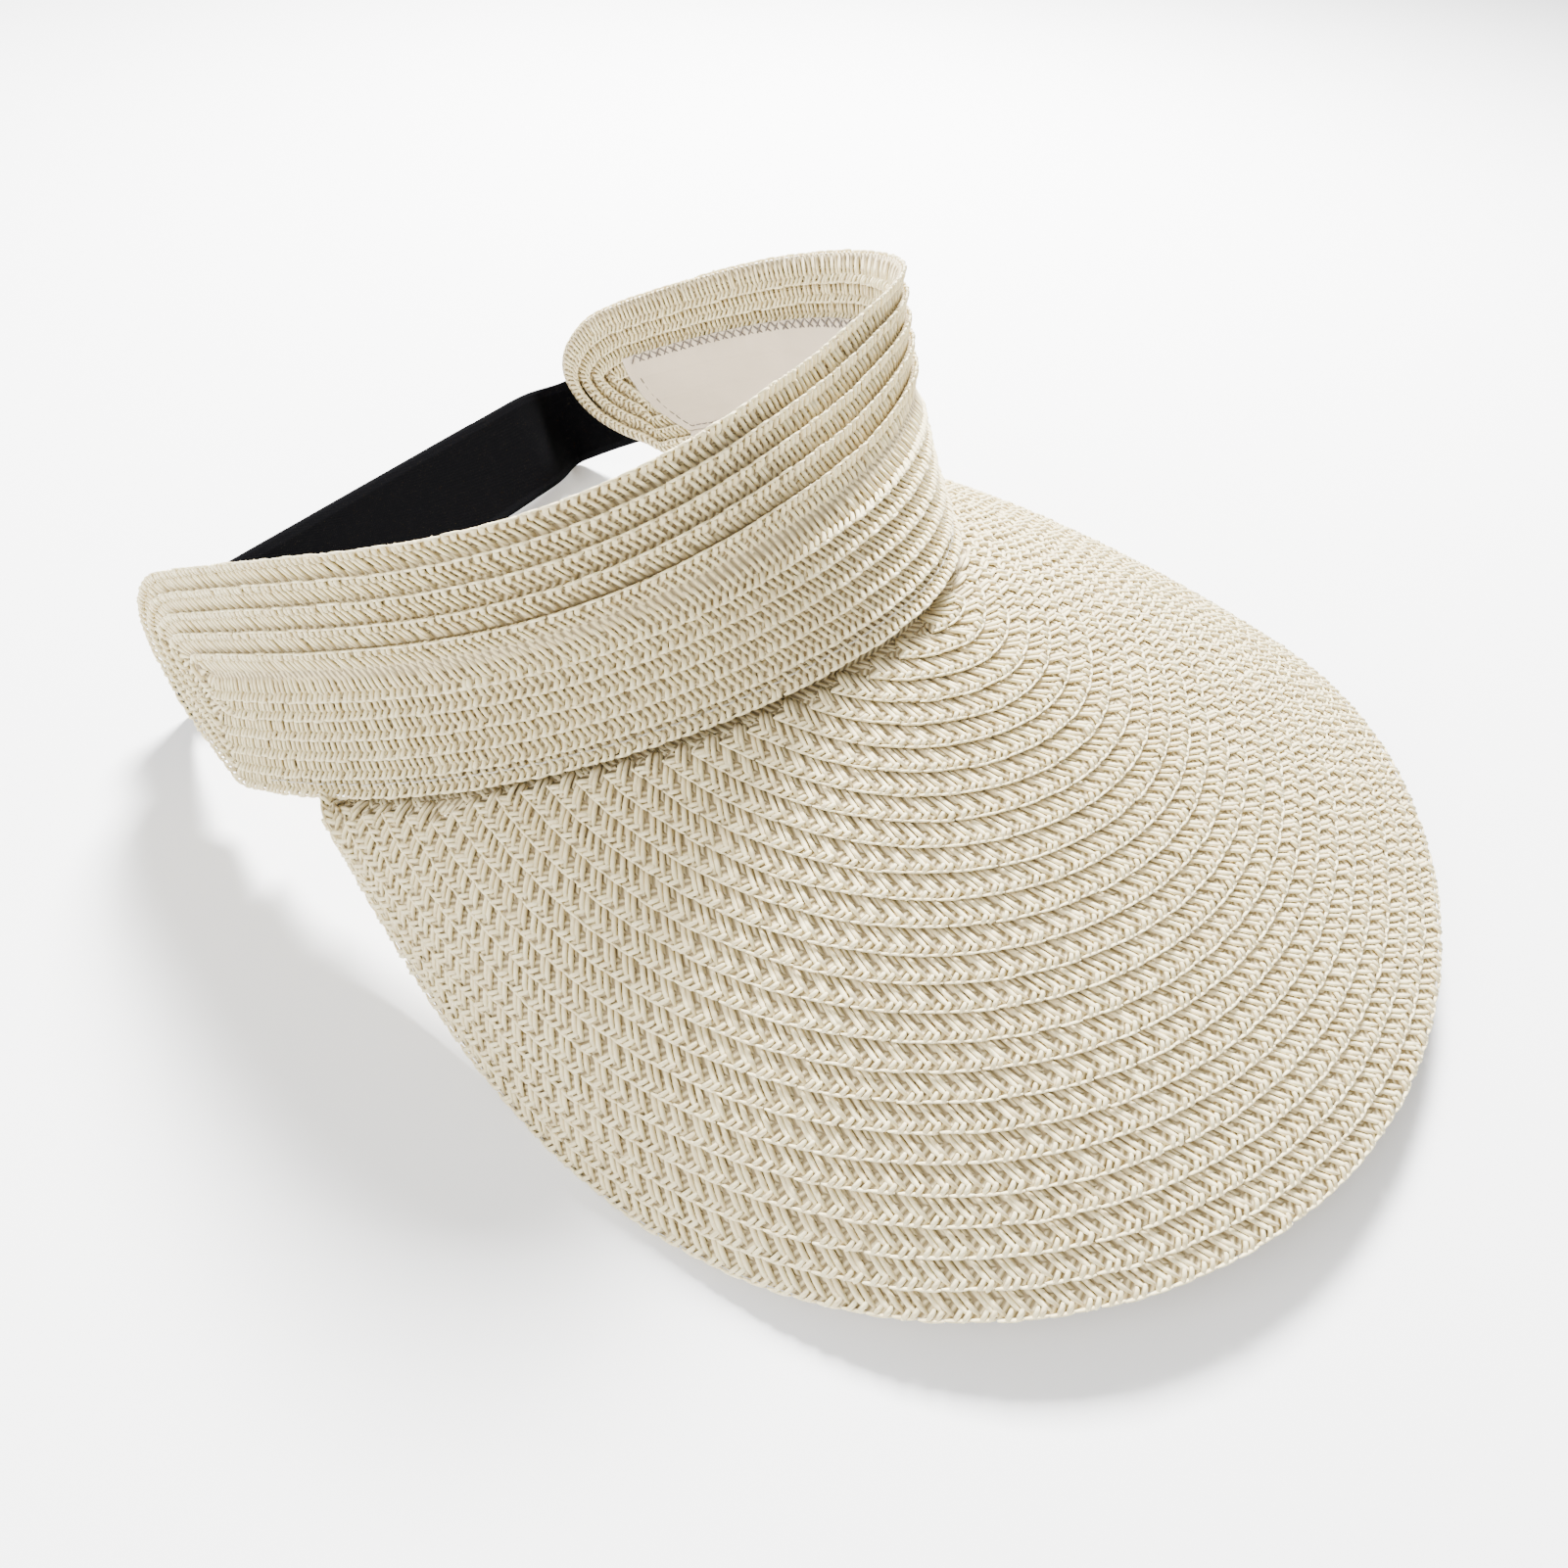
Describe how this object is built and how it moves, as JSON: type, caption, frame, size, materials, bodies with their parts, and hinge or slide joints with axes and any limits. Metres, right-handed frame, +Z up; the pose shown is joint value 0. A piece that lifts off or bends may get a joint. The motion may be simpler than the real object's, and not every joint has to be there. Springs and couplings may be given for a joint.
{
  "type": "sun visor",
  "caption": "Roll-up sun visor of braided straw with a wide brim, a padded sweatband and a hook-and-loop closure.",
  "frame": {"origin": "On the surface the visor rests on, under the centre of its footprint (bounding-box bottom centre).", "axes": "-Y is the way the wearer looks, so the brim points to -Y and the closure is at +Y. +X is the wearer's left. +Z is up."},
  "size_m": [0.2334, 0.289, 0.107],
  "materials": {
    "straw_braid": "matte",
    "lining_cotton": "matte",
    "interlining_foam": "matte",
    "pale_thread": "matte",
    "grey_thread": "matte",
    "black_tape": "matte",
    "black_thread": "matte"
  },
  "bodies": {
    "visor": {"crown_band": "straw_braid", "brim": "straw_braid", "seam_binding": "lining_cotton", "sweatband_interlining": "interlining_foam", "sweatband_lining": "lining_cotton", "brim_seam_thread": "pale_thread", "lining_top_thread": "grey_thread", "lining_hem_thread": "pale_thread", "loop_tape_tab": "black_tape", "loop_tape_thread": "black_thread", "hook_tape_tab": "black_tape", "hook_tape_thread": "black_thread"},
    "loop_strap": {"loop_tape": "black_tape"},
    "hook_strap": {"hook_tape": "black_tape"}
  },
  "joints": [
    {"name": "loop_strap_fold", "type": "hinge", "parent": "visor", "child": "loop_strap", "pos_m": [-0.07244, 0.13558, 0.02061], "axis": [0.122, 0.1336, 0.9835], "range_deg": [0, 70]},
    {"name": "hook_strap_fold", "type": "hinge", "parent": "visor", "child": "hook_strap", "pos_m": [0.07802, 0.13364, 0.016], "axis": [-0.1284, 0.1339, 0.9826], "range_deg": [0, 20]}
  ]
}
